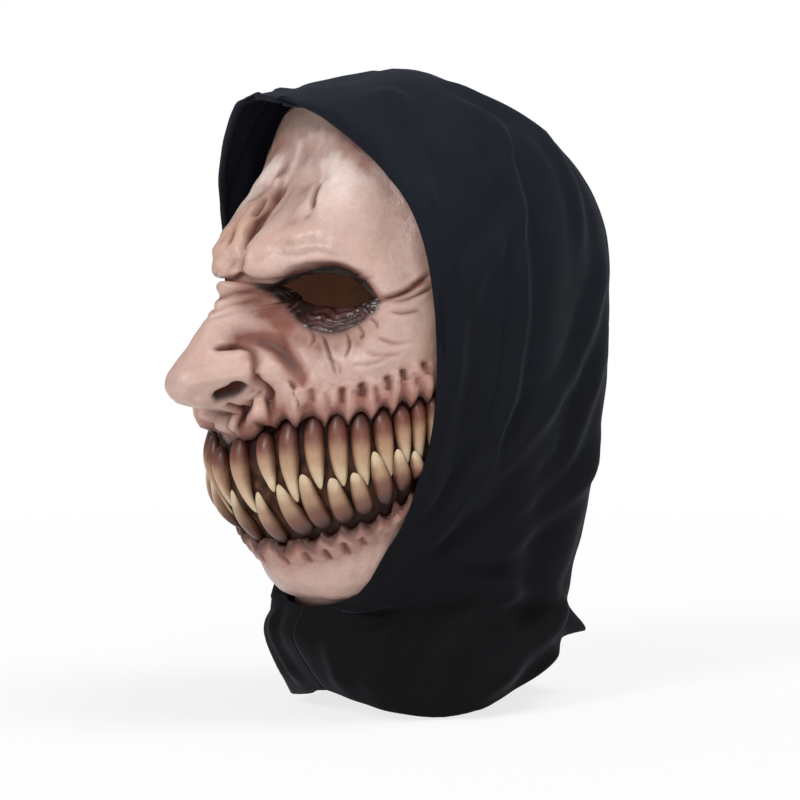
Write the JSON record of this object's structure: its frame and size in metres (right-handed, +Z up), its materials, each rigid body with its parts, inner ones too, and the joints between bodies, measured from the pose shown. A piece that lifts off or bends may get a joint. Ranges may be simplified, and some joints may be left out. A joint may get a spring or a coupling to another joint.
{
  "type": "latex halloween mask",
  "caption": "Full-head latex monster mask with a drooping nose, open eye holes and a wide grin of interlocking fangs, bonded into a draped black cloth hood.",
  "frame": {"origin": "centre of the wearer's head at eye level, on the mask's middle plane", "axes": "+Z up, the mask faces -Y, +X to the wearer's left"},
  "size_m": [0.1692, 0.2608, 0.3157],
  "materials": {
    "latex_skin": "painted satin latex",
    "latex_gum": "painted gloss latex",
    "latex_tooth": "painted gloss latex",
    "hood_cloth": "matte knitted cloth",
    "seam_tape": "woven tape",
    "bond_felt": "felt"
  },
  "bodies": {
    "root": {"face_skin": "latex_skin", "gum_insert": "latex_gum", "upper_teeth": "latex_tooth", "lower_teeth": "latex_tooth", "hood_left_panel": "hood_cloth", "hood_right_panel": "hood_cloth", "crown_seam_tape": "seam_tape", "front_seam_tape": "seam_tape", "left_bond_strip": "bond_felt", "right_bond_strip": "bond_felt"}
  },
  "joints": []
}
